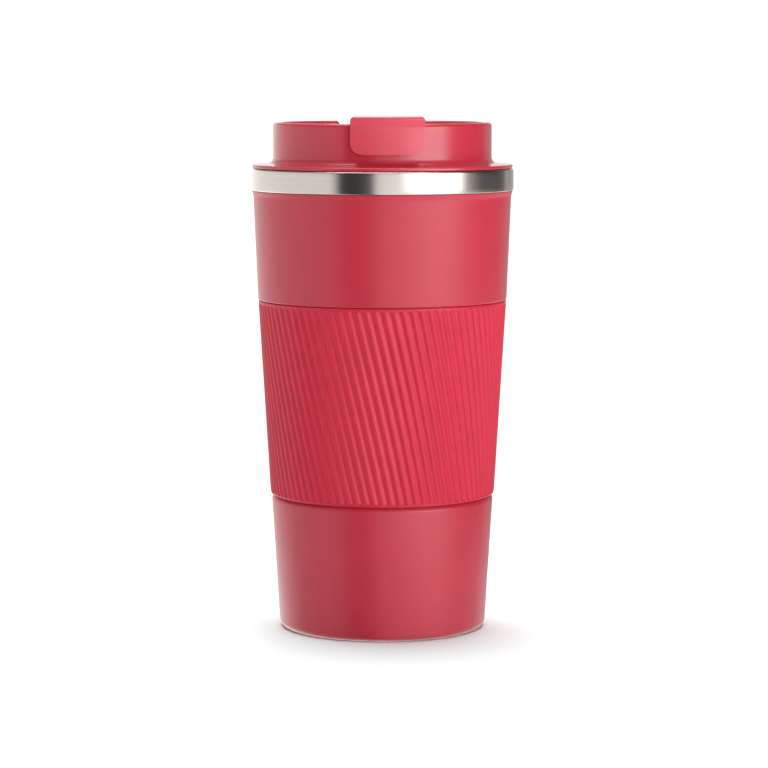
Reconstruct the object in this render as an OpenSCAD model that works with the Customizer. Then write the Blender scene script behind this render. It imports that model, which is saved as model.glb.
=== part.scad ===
// Insulated travel mug with a screw lid and a flip tab.
// Millimetres, +Z up. The origin is the centre of the foot, on the table.
// The tab's tongue hangs down at the front, on the -Y side.

/* [Cup] */
// Outer diameter of the bare steel band at the mouth
band_d = 89; // [88.5:0.1:90]
// Height of the mouth's rim above the table
cup_h = 156.5; // [155.5:0.1:158]
// Height of the bare steel band
band_h = 7.35; // [6.8:0.05:7.8]
// Outer diameter of the wall just above the foot
foot_d = 70.1; // [69:0.1:71]
// Outer diameter of the wall just below the grip sleeve
low_d = 75.6; // [75.2:0.1:76]
// Outer diameter of the wall just above the grip sleeve
high_d = 84.5; // [84.2:0.1:84.8]
// Outer diameter of the wall just below the steel band
neck_d = 87.4; // [87:0.1:87.6]
// Sheet thickness of the outer shell
shell_t = 1; // [0.8:0.1:1]
// Sheet thickness of the inner liner
liner_t = 0.8; // [0.6:0.1:0.8]
// Inner diameter of the mouth
mouth_d = 78; // [77.8:0.1:78]

/* [Grip sleeve] */
// Height of the sleeve's lower edge above the table
sleeve_z = 45.9; // [45.5:0.1:46.5]
// Height of the sleeve
sleeve_h = 66; // [65:0.1:66.5]
// Outer diameter over the ribs at the sleeve's lower edge
sleeve_low_d = 76.3; // [76:0.1:76.6]
// Outer diameter over the ribs at the sleeve's upper edge
sleeve_high_d = 84.3; // [84:0.1:84.6]
// Thickness of the sleeve at its ribs
sleeve_t = 1.2; // [1.1:0.05:1.25]
// Number of ribs
rib_count = 84; // [72:1:96]
// Depth of the grooves between the ribs
rib_depth = 0.45; // [0.2:0.05:0.6]
// Turn of one rib about the mug from the sleeve's upper edge to its lower edge, in degrees
rib_turn = 21.3; // [0:0.1:30]

/* [Lid] */
// Outer diameter of the lid's flange
lid_d = 88.4; // [87.6:0.1:88.6]
// Height of the collar's rim above the mouth's rim
collar_h = 15.5; // [15:0.1:16]
// Outer diameter of the collar
collar_d = 74.1; // [74:0.05:74.2]
// Wall thickness of the collar
collar_t = 3; // [2.6:0.1:3.2]
// Depth of the sunk deck below the collar's rim
deck_depth = 8; // [7.8:0.1:8.2]
// Depth that the plug reaches into the mouth
plug_depth = 18.5; // [18:0.1:19]
// Diameter of the drink hole
drink_d = 10; // [9.6:0.1:10.4]

/* [Flip tab] */
// Width of the tab
tab_w = 24.6; // [24:0.1:25.2]
// Width of the tab's arm at its hinge
hinge_w = 20; // [19.6:0.1:21]
// Thickness of the tab's arm
tab_t = 2.4; // [2.2:0.1:2.6]
// Height of the tongue from its lower end to the top of the arm
tongue_h = 12.6; // [11.5:0.1:13]
// Thickness of the tongue
tongue_t = 2.25; // [2:0.05:2.5]
// Diameter of the hinge pin
pin_d = 3; // [2.6:0.1:3.2]

/* [Screw thread] */
// Rise of the lid in one turn
thread_lead = 12; // [11.5:0.1:12.5]
// Number of thread starts
thread_starts = 3; // [2:1:3]
// Length of each ridge in the mouth, in degrees about the mug
mouth_thread_turn = 200; // [120:8:208]
// Length of each ridge on the plug, in degrees about the mug
plug_thread_turn = 96; // [64:8:112]

/* [Hidden] */

round_fn = 128;
gap = 0.05;            // between two pieces that touch
fit = 0.3;             // between two pieces that move past each other

// cup
band_r = band_d / 2;
low_r = low_d / 2;
high_r = high_d / 2;
neck_r = neck_d / 2;
foot_r = foot_d / 2;
mouth_r = mouth_d / 2;
foot_edge = 2.6;       // round of the foot's outer edge
hem_r = 29.6;          // inner radius of the foot's hem
hem_h = 3;             // height of the hem's upstand
ledge_edge = 1.2;      // round of the wall's edge below the sleeve
ledge_gap = 0.35;      // groove below the sleeve
brow_edge = 1.8;       // round of the wall's edge above the sleeve
brow_gap = 0.45;       // groove above the sleeve
sleeve_top = sleeve_z + sleeve_h;
recess_low_r = sleeve_low_d / 2 - sleeve_t;
recess_high_r = sleeve_high_d / 2 - sleeve_t;
ledge_z = sleeve_z - ledge_gap - ledge_edge;
brow_z = sleeve_top + brow_gap + brow_edge;
ring_z = cup_h - band_h;
ring_t = 1.2;          // sheet thickness of the steel band
flare_h = 1.85;        // flare of the wall up to the band
flare_r = 3.67;
flare_z = ring_z - 0.1 - flare_h;
throat_r = band_r - ring_t - gap;

// liner
liner_z = 9;           // underside of the liner
liner_low_r = 31.4;
liner_edge = 6;        // round between the liner's wall and its floor
liner_neck_z = cup_h - plug_depth - 2;
liner_taper_r = mouth_r + liner_t - 0.45;
floor_r = 24;

// bottom plates
vacuum_z = 4.6;
vacuum_t = 0.8;
vacuum_r = foot_r - shell_t - 0.2;
cover_z = 1.2;
cover_t = 0.8;
getter_x = 14;
getter_r = 6;
getter_h = 1.6;

// lid
lid_r = lid_d / 2;
lid_z = cup_h + 0.2;
collar_r = collar_d / 2;
rim_z = cup_h + collar_h;
deck_z = rim_z - deck_depth;
deck_t = 2;
rim_round = 1.4;       // round along both edges of the collar's rim
plug_r = collar_r - 0.05;
plug_t = 2.4;
plug_z = cup_h - plug_depth;
spigot_r = plug_r - plug_t - 0.1;
spigot_t = 1.5;
spigot_z = cup_h - 4.5;
seal_low = cup_h - 5.6;
seal_high = cup_h - 2.4;
seal_r = plug_r - 1.2;
drink_y = -25;
drink_r = drink_d / 2;
vent_y = -9.5;
vent_r = 1.2;

// tab and hinge
tab_top = rim_z + 0.1 + tab_t;
tongue_z = tab_top - tongue_h;
tongue_in_r = collar_r + fit;
tongue_r = tongue_in_r + tongue_t;
pin_r = pin_d / 2;
tab_corner = 4;        // round of the tongue's lower corners
tab_crown = 1.4;       // round of the tab's upper corners
nose_r = 4;            // round of the front edge where the arm turns down into the tongue
arm_fall = 0.7;        // fall of the arm's top from its front edge back to the hinge
drink_post_r = 4.2;
vent_post_r = 1.6;
knuckle_r = 2.8;
knuckle_out = hinge_w / 2 - 0.3;
pin_z = tab_top - arm_fall - knuckle_r;
ear_r = 2.7;
ear_w = 11.6;
notch_w = tab_w + 2.1;
notch_z = 2 * pin_z - tab_top - 0.5;
stopper_z = deck_z + 0.2;

// thread
thread_z = cup_h - 15;
thread_step = 8;
engage_turn = 20;      // the plug's ridges start this far along the mouth's ridges
engage_drop = 1.5;     // and this far below them

// points on an arc about [x, y], from angle a0 to a1
function arc(x, y, r, a0, a1, n = 6) =
    [for (i = [0:n]) let (a = a0 + (a1 - a0) * i / n) [x + r * cos(a), y + r * sin(a)]];

// wall of the cup, from the foot's hem to the throat inside the steel band
function shell_outside() = concat(
    [[hem_r, 0]],
    arc(foot_r - foot_edge, foot_edge, foot_edge, -90, 0),
    arc(low_r - ledge_edge, ledge_z, ledge_edge, 0,
        acos((recess_low_r - low_r + ledge_edge) / ledge_edge)),
    arc(high_r - brow_edge, brow_z, brow_edge,
        -acos((recess_high_r - high_r + brow_edge) / brow_edge), 0),
    arc(neck_r + flare_r, flare_z, flare_r, 180, 180 - asin(flare_h / flare_r)),
    [[throat_r, ring_z - 0.1], [throat_r, cup_h - ring_t - gap]]
);

function shell_inside() = concat(
    [
        [throat_r - shell_t, cup_h - ring_t - gap],
        [throat_r - shell_t, flare_z + 0.4],
        [neck_r - shell_t, flare_z - 1],
        [high_r - shell_t, brow_z],
        [recess_high_r - shell_t, brow_z - brow_edge + 0.2],
        [recess_low_r - shell_t, ledge_z + 0.2],
        [low_r - shell_t, ledge_z - 1.2]
    ],
    arc(foot_r - foot_edge, foot_edge, foot_edge - shell_t, 0, -90),
    [[hem_r + shell_t, shell_t], [hem_r + shell_t, hem_h], [hem_r, hem_h]]
);

module outer_shell() {
    color([0.72, 0.17, 0.22])
        rotate_extrude($fn = round_fn)
            polygon(concat(shell_outside(), shell_inside()));
}

// band that stands just proud of the wall, with a flange in to the liner
module mouth_ring() {
    color([0.78, 0.77, 0.75])
        rotate_extrude($fn = round_fn)
            polygon(concat(
                [[band_r - ring_t, ring_z]],
                arc(band_r - 0.3, ring_z + 0.3, 0.3, -90, 0, 3),
                arc(band_r - 0.5, cup_h - 0.5, 0.5, 0, 90, 4),
                [
                    [mouth_r + liner_t + gap, cup_h],
                    [mouth_r + liner_t + gap, cup_h - ring_t],
                    [band_r - ring_t, cup_h - ring_t]
                ]
            ));
}

// one ridge of a screw thread: r0 is its root's radius, r1 its crest's,
// w0 and w1 its half widths there; it fades in and out over its first and last steps
module ridge(r0, r1, w0, w1, z0, turn) {
    steps = round(turn / thread_step);
    sections = [
        for (i = [0:steps])
            let (
                a = i * turn / steps,
                z = z0 + thread_lead * a / 360,
                full = min(1, (i + 0.3) / 2, (steps - i + 0.3) / 2),
                crest = r0 + (r1 - r0) * full
            )
            for (p = [[r0, -w0], [r0, w0], [crest, w1], [crest, -w1]])
                [p[0] * cos(a), p[0] * sin(a), z + p[1]]
    ];
    out = r1 > r0;
    faces = concat(
        [
            for (i = [0:steps - 1], k = [0:3])
                let (a = 4 * i + k, b = 4 * i + (k + 1) % 4, c = b + 4, d = a + 4)
                for (t = [[a, b, c], [a, c, d]])
                    out ? [t[0], t[2], t[1]] : t
        ],
        out ? [[0, 1, 2, 3]] : [[3, 2, 1, 0]],
        let (e = 4 * steps) out ? [[e + 3, e + 2, e + 1, e]] : [[e, e + 1, e + 2, e + 3]]
    );
    polyhedron(points = sections, faces = faces, convexity = 6);
}

// steel drinking vessel; the ridges of its screw thread lie a hair off its wall
module inner_liner() {
    outside = concat(
        arc(liner_low_r - liner_edge, liner_z + liner_edge, liner_edge, -90, 0),
        [
            [liner_taper_r, liner_neck_z],
            [mouth_r + liner_t, liner_neck_z + 1.6],
            [mouth_r + liner_t, cup_h]
        ]
    );
    inside = concat(
        arc(mouth_r + 0.4, cup_h - 0.4, 0.4, 90, 180, 3),
        [
            [mouth_r, liner_neck_z + 1.6],
            [liner_taper_r - liner_t, liner_neck_z]
        ],
        arc(liner_low_r - liner_edge, liner_z + liner_edge, liner_edge - liner_t, 0, -90)
    );
    color([0.8, 0.8, 0.79]) {
        rotate_extrude($fn = round_fn)
            polygon(concat(
                [[floor_r, liner_z]], outside, inside, [[floor_r, liner_z + liner_t]]
            ));
        for (k = [0:thread_starts - 1])
            rotate([0, 0, k * 360 / thread_starts])
                ridge(mouth_r - 0.02, mouth_r - 1.05, 0.95, 0.45, thread_z, mouth_thread_turn);
    }
}

// pressed bottom of the drinking vessel
module liner_floor() {
    color([0.8, 0.8, 0.79])
        rotate_extrude($fn = round_fn)
            polygon([
                [0, liner_z + 0.6], [14, liner_z + 0.4], [16, liner_z], [floor_r - gap, liner_z],
                [floor_r - gap, liner_z + liner_t], [16.2, liner_z + liner_t],
                [14.2, liner_z + liner_t + 0.4], [0, liner_z + liner_t + 0.6]
            ]);
}

// plate that closes the vacuum space, with a dimple and the pump hole in its middle
module vacuum_bottom() {
    color([0.72, 0.72, 0.72])
        rotate_extrude($fn = round_fn)
            polygon([
                [1.2, vacuum_z - 1.2], [5, vacuum_z - 1.2], [6.4, vacuum_z],
                [vacuum_r, vacuum_z], [vacuum_r, vacuum_z + 2.4],
                [vacuum_r - vacuum_t, vacuum_z + 2.4], [vacuum_r - vacuum_t, vacuum_z + vacuum_t],
                [6, vacuum_z + vacuum_t], [4.6, vacuum_z + vacuum_t - 1.2],
                [1.2, vacuum_z + vacuum_t - 1.2]
            ]);
}

// bead that was melted over the pump hole
module vacuum_seal() {
    color([0.32, 0.34, 0.36])
        rotate_extrude($fn = 64)
            polygon([
                [0, vacuum_z - 1.2], [1.1, vacuum_z - 1.2], [1.1, vacuum_z - 0.4 + gap],
                [3.6, vacuum_z - 0.4 + gap], [3, vacuum_z + 0.3], [1.6, vacuum_z + 0.7],
                [0, vacuum_z + 0.8]
            ]);
}

// tablet that absorbs gas in the vacuum space
module getter() {
    color([0.45, 0.45, 0.47])
        translate([getter_x, 0, vacuum_z + vacuum_t])
            cylinder(r = getter_r, h = getter_h, $fn = 64);
}

// clip that is spot welded to the plate and holds the getter down
module getter_clip() {
    clip_z = vacuum_z + vacuum_t;
    clip_l = getter_r + 3;
    color([0.75, 0.75, 0.74])
        translate([getter_x, 0, clip_z]) {
            translate([-2, -clip_l, getter_h + gap])
                cube([4, 2 * clip_l, 0.5]);
            for (side = [-1, 1])
                translate([-2, side * (getter_r + 1.75) - 1.25, 0])
                    cube([4, 2.5, getter_h + gap + 0.5]);
        }
}

// outer bottom, pressed into the foot's hem
module base_cover() {
    cover_r = hem_r - gap;
    color([0.78, 0.78, 0.77])
        rotate_extrude($fn = round_fn)
            polygon([
                [0, cover_z + 0.5], [20, cover_z + 0.5], [21, cover_z], [cover_r, cover_z],
                [cover_r, hem_h], [cover_r - cover_t, hem_h],
                [cover_r - cover_t, cover_z + cover_t], [21.4, cover_z + cover_t],
                [20.4, cover_z + 0.5 + cover_t], [0, cover_z + 0.5 + cover_t]
            ]);
}

// radius over the sleeve's ribs, a part f of the way up
function sleeve_r(f) = (sleeve_low_d + (sleeve_high_d - sleeve_low_d) * f) / 2;
function sleeve_point(f, a, r) = [r * sin(a), -r * cos(a), sleeve_z + sleeve_h * f];

// soft sleeve with slanted ribs; its inside runs straight up, so its columns meet the ribs'
// columns at the upper edge only after a slip of whole columns
module grip_sleeve() {
    levels = 5;
    columns = 2 * rib_count;
    step = 360 / columns;
    slip = round(rib_turn / step);
    outside = [
        for (i = [0:levels], k = [0:columns - 1])
            let (f = i / levels)
            sleeve_point(f, k * step - rib_turn * f, sleeve_r(f) - (k % 2) * rib_depth)
    ];
    inside = [
        for (f = [0, 1], k = [0:columns - 1])
            sleeve_point(f, (k - slip * f) * step, sleeve_r(f) - sleeve_t + 2 * gap)
    ];
    first_in = (levels + 1) * columns;
    first_high = first_in + columns;
    faces = concat(
        [
            for (i = [0:levels - 1], k = [0:columns - 1])
                let (
                    a = i * columns + k, b = i * columns + (k + 1) % columns,
                    c = b + columns, d = a + columns
                )
                for (t = [[a, c, b], [a, d, c]]) t
        ],
        [
            for (k = [0:columns - 1])
                let (
                    a = first_in + k, b = first_in + (k + 1) % columns,
                    c = first_high + (k + slip + 1) % columns,
                    d = first_high + (k + slip) % columns
                )
                for (t = [[a, b, c], [a, c, d]]) t
        ],
        [
            for (k = [0:columns - 1])
                let (
                    m = (k + 1) % columns,
                    a = k, b = m, c = first_in + m, d = first_in + k
                )
                for (t = [[a, b, c], [a, c, d]]) t
        ],
        [
            for (k = [0:columns - 1])
                let (
                    m = (k + 1) % columns, top = levels * columns,
                    a = top + k, b = top + m, c = first_high + m, d = first_high + k
                )
                for (t = [[a, c, b], [a, d, c]]) t
        ]
    );
    color([0.8, 0.13, 0.2])
        polyhedron(points = concat(outside, inside), faces = faces, convexity = 6);
}

// soft ring in the plug's groove, with two lips towards the mouth
module lid_gasket() {
    in_r = seal_r + 0.1;
    low = seal_low + 0.1;
    high = seal_high - 0.1;
    body_r = plug_r + 0.5;
    lip_r = mouth_r - 0.2;
    color([0.88, 0.88, 0.86])
        rotate_extrude($fn = round_fn)
            polygon([
                [in_r, low], [body_r, low], [lip_r, low + 0.6], [lip_r, low + 0.9],
                [body_r, low + 1], [body_r, low + 1.5], [lip_r, low + 2.1], [lip_r, low + 2.4],
                [body_r, low + 2.6], [body_r, high], [in_r, high]
            ]);
}

// section of the lid's cover: sunk deck, collar, flange and the spigot under them
function cover_section() = concat(
    [[0, deck_z - deck_t], [0, deck_z]],
    arc(collar_r - collar_t - 1, deck_z + 1, 1, -90, 0, 4),
    arc(collar_r - collar_t + rim_round, rim_z - rim_round, rim_round, 180, 90, 4),
    arc(collar_r - rim_round, rim_z - rim_round, rim_round, 90, 0, 4),
    arc(collar_r + 2.5, lid_z + 4.8, 2.5, 180, 260, 8),
    arc(lid_r - 0.6, lid_z + 0.95, 0.6, 80, 0, 4),
    arc(lid_r - 0.4, lid_z + 0.4, 0.4, 0, -90, 3),
    [
        [spigot_r, lid_z], [spigot_r, spigot_z], [spigot_r - spigot_t, spigot_z],
        [spigot_r - spigot_t, deck_z - deck_t]
    ]
);

// opening in the rim's back, where the arm lies when the tab is flipped open
module notch() {
    w = notch_w / 2;
    outline = concat(
        [[-w - 1.2, rim_z + 3]],
        arc(-w - 1.2, rim_z - 1.2, 1.2, 90, 0, 4),
        arc(-w + 2, notch_z + 2, 2, 180, 270, 4),
        arc(w - 2, notch_z + 2, 2, 270, 360, 4),
        arc(w + 1.2, rim_z - 1.2, 1.2, 180, 90, 4),
        [[w + 1.2, rim_z + 3]]
    );
    translate([0, collar_r + 5, 0])
        rotate([90, 0, 0])
            linear_extrude(height = collar_r - 15)
                polygon(outline);
}

// rod along X through the hinge axis
module hinge_rod(r, half) {
    translate([-half, 0, pin_z])
        rotate([0, 90, 0])
            cylinder(r = r, h = 2 * half, $fn = 64);
}

module lid_cover() {
    color([0.74, 0.2, 0.25])
        difference() {
            union() {
                rotate_extrude($fn = round_fn)
                    polygon(cover_section());
                hinge_rod(ear_r, ear_w / 2);
                translate([-ear_w / 2, -ear_r, deck_z - 0.5])
                    cube([ear_w, 2 * ear_r, pin_z - deck_z + 0.5]);
                translate([0, vent_y, deck_z - 0.5])
                    cylinder(r = 2.8, h = 2.3, $fn = 64);
            }
            hinge_rod(pin_r + 0.02, ear_w);
            notch();
            translate([0, drink_y, deck_z - 5])
                cylinder(r = drink_r, h = 10, $fn = 64);
            translate([0, vent_y, deck_z - 5])
                cylinder(r = vent_r, h = 10, $fn = 64);
        }
}

// pipe that stands on the plug's floor and meets the deck
module plug_pipe(y, r) {
    translate([0, y, plug_z + 1])
        cylinder(r = r, h = deck_z - deck_t - gap - plug_z - 1, $fn = 64);
}

// threaded lower half of the lid: a cup with an air space, a drink pipe and a vent pipe
module lid_plug() {
    wall = concat(
        [[0, plug_z]],
        arc(plug_r - 1.5, plug_z + 1.5, 1.5, -90, 0, 4),
        [
            [plug_r, seal_low], [seal_r, seal_low], [seal_r, seal_high], [plug_r, seal_high],
            [plug_r, lid_z - gap], [plug_r - plug_t, lid_z - gap], [plug_r - plug_t, plug_z + 2],
            [0, plug_z + 2]
        ]
    );
    color([0.3, 0.3, 0.31])
        difference() {
            union() {
                rotate_extrude($fn = round_fn)
                    polygon(wall);
                plug_pipe(drink_y, drink_r + 2.6);
                plug_pipe(vent_y, vent_r + 1.4);
                for (k = [0:thread_starts - 1])
                    rotate([0, 0, engage_turn + k * 360 / thread_starts])
                        ridge(plug_r - 0.4, mouth_r - 0.4, 0.9, 0.4,
                            thread_z + thread_lead * engage_turn / 360 - engage_drop,
                            plug_thread_turn);
            }
            translate([0, drink_y, plug_z - 1])
                cylinder(r = drink_r + 1.2, h = 40, $fn = 64);
            translate([0, vent_y, plug_z - 1])
                cylinder(r = vent_r + 0.1, h = 40, $fn = 64);
        }
}

// steel pin, fast in the lid's ear; the tab turns on its ends
module hinge_pin() {
    color([0.7, 0.7, 0.7])
        hinge_rod(pin_r, knuckle_out - 0.2);
}

// front view of the arm and the tongue
function tab_outline() = concat(
    arc(tab_w / 2 - tab_crown, tab_top - tab_crown, tab_crown, 0, 90, 4),
    arc(tab_crown - tab_w / 2, tab_top - tab_crown, tab_crown, 90, 180, 4),
    arc(tab_corner - tab_w / 2, tongue_z + tab_corner, tab_corner, 180, 270),
    arc(tab_w / 2 - tab_corner, tongue_z + tab_corner, tab_corner, 270, 360)
);

// section of the arm over the rim and the tongue outside the collar
function tab_section() = concat(
    [[0, tab_top - tab_t]],
    arc(tongue_in_r - 0.8, tab_top - tab_t - 0.8, 0.8, 90, 0, 4),
    [[tongue_in_r, tongue_z], [tongue_r - 0.4, tongue_z], [tongue_r, tongue_z + 0.4]],
    arc(tongue_r - nose_r, tab_top - nose_r, nose_r, 0, 90),
    [[0, tab_top - arm_fall]]
);

// plan of the arm and the tongue, narrower towards the hinge
function tab_plan() = [
    [-tab_w / 2, -tongue_r - 1], [tab_w / 2, -tongue_r - 1], [tab_w / 2, -tongue_in_r],
    [hinge_w / 2, 0], [-hinge_w / 2, 0], [-tab_w / 2, -tongue_in_r]
];

// arm across the lid with its tongue at the front and its hinge at the middle
module flip_tab() {
    slot_half = ear_w / 2 + fit;
    color([0.82, 0.22, 0.3])
        difference() {
            union() {
                intersection() {
                    rotate_extrude($fn = round_fn)
                        polygon(tab_section());
                    rotate([90, 0, 0])
                        linear_extrude(height = tongue_r + 1)
                            polygon(tab_outline());
                    translate([0, 0, tongue_z - 1])
                        linear_extrude(height = tongue_h + 2)
                            polygon(tab_plan());
                }
                hinge_rod(knuckle_r, knuckle_out);
                translate([0, drink_y, stopper_z + 2])
                    cylinder(r = drink_post_r, h = tab_top - 1 - stopper_z - 2, $fn = 64);
                translate([0, vent_y, stopper_z + 4])
                    cylinder(r = vent_post_r, h = tab_top - 1 - stopper_z - 4, $fn = 64);
            }
            translate([-slot_half, -ear_r - 0.35, pin_z - 10])
                cube([2 * slot_half, 20, 20]);
            hinge_rod(pin_r + 0.06, knuckle_out + 5);
        }
}

// soft cap with a tapered nose that shuts the drink hole
module spout_stopper() {
    color([0.88, 0.88, 0.86])
        translate([0, drink_y, stopper_z])
            rotate_extrude($fn = 96)
                polygon([
                    [0, -1.8], [drink_r - 1.6, -1.8], [drink_r - 1, -1.2], [drink_r - 0.7, 0],
                    [drink_r + 1.6, 0], [drink_r + 2, 0.4], [drink_r + 2, 1.4],
                    [drink_r + 0.9, 2], [drink_r + 0.6, 4],
                    [drink_post_r + gap, 4], [drink_post_r + gap, 2 - gap],
                    [0, 2 - gap]
                ]);
}

// soft cap that shuts the vent
module vent_stopper() {
    color([0.88, 0.88, 0.86])
        translate([0, vent_y, stopper_z + 1.8])
            rotate_extrude($fn = 64)
                polygon([
                    [0, 0], [2.6, 0], [3, 0.4], [3, 2.4], [2.6, 4],
                    [vent_post_r + gap, 4], [vent_post_r + gap, 2.2 - gap], [0, 2.2 - gap]
                ]);
}

outer_shell();
mouth_ring();
inner_liner();
liner_floor();
vacuum_bottom();
vacuum_seal();
getter();
getter_clip();
base_cover();
grip_sleeve();
lid_gasket();
lid_cover();
lid_plug();
hinge_pin();
flip_tab();
spout_stopper();
vent_stopper();
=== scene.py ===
"""The looks of an insulated travel mug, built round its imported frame.

Profiles and sizes are in millimetres, with the mug's axis on Z and its foot at z = 0.
Meshes are scaled to metres as they are made.
"""
import math

import bmesh
import bpy
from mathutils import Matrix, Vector


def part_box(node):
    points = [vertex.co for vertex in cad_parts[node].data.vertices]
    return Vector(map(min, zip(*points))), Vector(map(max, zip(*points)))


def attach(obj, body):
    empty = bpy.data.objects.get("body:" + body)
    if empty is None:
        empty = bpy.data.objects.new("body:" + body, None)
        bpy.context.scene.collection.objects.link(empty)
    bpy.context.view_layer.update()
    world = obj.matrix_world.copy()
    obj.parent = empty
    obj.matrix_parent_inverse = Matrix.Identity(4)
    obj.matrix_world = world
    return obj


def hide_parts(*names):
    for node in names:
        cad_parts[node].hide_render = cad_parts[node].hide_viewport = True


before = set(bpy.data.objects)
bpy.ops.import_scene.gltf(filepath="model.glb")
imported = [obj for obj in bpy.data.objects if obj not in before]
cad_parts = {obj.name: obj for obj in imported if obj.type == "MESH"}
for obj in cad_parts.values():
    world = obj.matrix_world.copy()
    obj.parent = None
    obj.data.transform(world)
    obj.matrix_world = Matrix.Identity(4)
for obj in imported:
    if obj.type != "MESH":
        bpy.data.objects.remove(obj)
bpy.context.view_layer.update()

MM = 0.001


# ---------------------------------------------------------------- sizes from the frame

def low(node, axis=2):
    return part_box(node)[0][axis] / MM


def high(node, axis=2):
    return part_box(node)[1][axis] / MM


def radius(node):
    return (high(node, 0) - low(node, 0)) / 2


GAP = 0.05              # between pieces that are fast together
CORE = 0.02             # a turned piece without a hole stops this close to its axis

# cup
BAND_R = radius("mouth_ring")
CUP_H = high("mouth_ring")
RING_Z = low("mouth_ring")
FOOT_R = 35.05
LOW_R = 37.8            # wall just below the sleeve
HIGH_R = 42.25          # wall just above the sleeve
NECK_R = 43.7           # wall just below the steel band
FOOT_EDGE = 2.6
HEM_R = 29.6            # inner edge of the shell's foot
HEM_H = 3
COVER_T = 0.8
SHELL_T = 1.0
MOUTH_R = 39.0
LINER_T = 0.8
LINER_Z = low("inner_liner")
LINER_LOW_R = 31.4
LINER_EDGE = 6          # round between the vessel's wall and its floor
LINER_FLOOR_R = 24

# sleeve
SLEEVE_Z = low("grip_sleeve")
SLEEVE_TOP = high("grip_sleeve")
SLEEVE_HIGH_R = radius("grip_sleeve")
SLEEVE_LOW_R = 38.15
SLEEVE_T = 1.2
RIBS = 84
RIB_TURN = 21.3         # degrees that a rib turns from the top edge to the bottom edge
RIB_DEPTH = 0.55
RIB_COLUMNS = 12        # points over one rib
SLEEVE_EDGE = 0.35      # round of the sleeve's outer edges
BAND_SINK = 0.12        # the plain bands at the sleeve's edges lie this far below the crests

# lid
LID_Z = CUP_H + 0.2
LID_R = radius("lid_cover")
COLLAR_R = 37.05
COLLAR_T = 3.0
RIM_Z = CUP_H + 15.5
RIM_ROUND = 1.2
DECK_Z = RIM_Z - 8
DECK_T = 2.0
PLUG_R = 37.0
PLUG_T = 2.4
PLUG_FLOOR_T = 2
PLUG_DEPTH = 18.5
PLUG_Z = low("lid_plug")
GROOVE_LOW = CUP_H - 5.6        # the gasket's groove in the plug
GROOVE_HIGH = CUP_H - 2.4
DRINK_Y = -25.0
DRINK_R = 5.0
DRINK_POST_R = 4.2      # post under the tab that carries the stopper
VENT_Y = -9.5
VENT_R = 1.2
VENT_POST_R = 1.6

# tab
TAB_TOP = high("flip_tab")
TAB_W = high("flip_tab", 0) - low("flip_tab", 0)
TONGUE_Z = low("flip_tab")
TAB_T = 2.4
TONGUE_R = 39.6
HINGE_W = 20.0          # the arm's width at its hinge
KNUCKLE_R = 2.8
KNUCKLE_OUT = HINGE_W / 2 - 0.3
PIN_Z = (low("hinge_pin") + high("hinge_pin")) / 2
PIN_R = 1.5
PIN_PLAY = 0.06
EAR_W = 11.6
EAR_R = 2.7
NOTCH_W = TAB_W + 2.1
NOTCH_Z = 2 * PIN_Z - TAB_TOP - 0.5

# thread
THREAD_COLUMNS = 360    # points round a threaded wall
THREAD_LEAD = 12.0
THREAD_STARTS = 3
MOUTH_THREAD_Z = CUP_H - 15
MOUTH_THREAD_TURN = 200
PLUG_THREAD_START = 20
PLUG_THREAD_TURN = 96
PLUG_THREAD_DROP = 1.5


# ---------------------------------------------------------------- meshes

def rounded(corners, degrees_per_step=9):
    """A closed outline from (r, z) or (r, z, round) corners, with arcs at the rounded ones."""
    points = []
    count = len(corners)
    for i, corner in enumerate(corners):
        here = Vector(corner[:2])
        if len(corner) < 3:
            points.append(here)
            continue
        before = Vector(corners[i - 1][:2]) - here
        after = Vector(corners[(i + 1) % count][:2]) - here
        half = before.angle(after) / 2
        reach = corner[2] / math.tan(half)
        start = here + before.normalized() * reach
        centre = here + (before.normalized() + after.normalized()).normalized() * (
            corner[2] / math.sin(half))
        end = here + after.normalized() * reach
        a0 = math.atan2(start.y - centre.y, start.x - centre.x)
        a1 = math.atan2(end.y - centre.y, end.x - centre.x)
        turn = (a1 - a0 + math.pi) % (2 * math.pi) - math.pi
        steps = max(3, round(abs(math.degrees(turn)) / degrees_per_step))
        for k in range(steps + 1):
            a = a0 + turn * k / steps
            points.append(centre + corner[2] * Vector((math.cos(a), math.sin(a))))
    return [(p.x, p.y) for p in points]


def make_object(name, verts, faces, smooth_angle=40):
    """An object in metres from millimetre points, with its faces turned outwards."""
    mesh = bpy.data.meshes.new(name)
    mesh.from_pydata([Vector(v) * MM for v in verts], [], faces)
    tidy = bmesh.new()
    tidy.from_mesh(mesh)
    bmesh.ops.remove_doubles(tidy, verts=tidy.verts, dist=1e-7)
    bmesh.ops.recalc_face_normals(tidy, faces=tidy.faces)
    tidy.to_mesh(mesh)
    tidy.free()
    mesh.shade_smooth()
    mesh.set_sharp_from_angle(angle=math.radians(smooth_angle))
    piece = bpy.data.objects.new(name, mesh)
    bpy.context.scene.collection.objects.link(piece)
    return piece


def arc_points(x, y, r, a0, a1, steps=6):
    """Points on an arc from angle a0 to a1, in degrees."""
    return [(x + r * math.cos(math.radians(a0 + (a1 - a0) * k / steps)),
             y + r * math.sin(math.radians(a0 + (a1 - a0) * k / steps)))
            for k in range(steps + 1)]


def circle(r, z, columns, centre=(0, 0)):
    points = []
    for k in range(columns):
        a = 2 * math.pi * k / columns
        points.append((centre[0] + r * math.cos(a), centre[1] + r * math.sin(a), z))
    return points


def grid_faces(rows, columns, wrap_rows=False):
    """Quads over rings of points numbered ring by ring."""
    faces = []
    for i in range(rows if wrap_rows else rows - 1):
        for k in range(columns):
            a = i * columns + k
            b = i * columns + (k + 1) % columns
            c = ((i + 1) % rows) * columns + (k + 1) % columns
            d = ((i + 1) % rows) * columns + k
            faces.append((a, b, c, d))
    return faces


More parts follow.
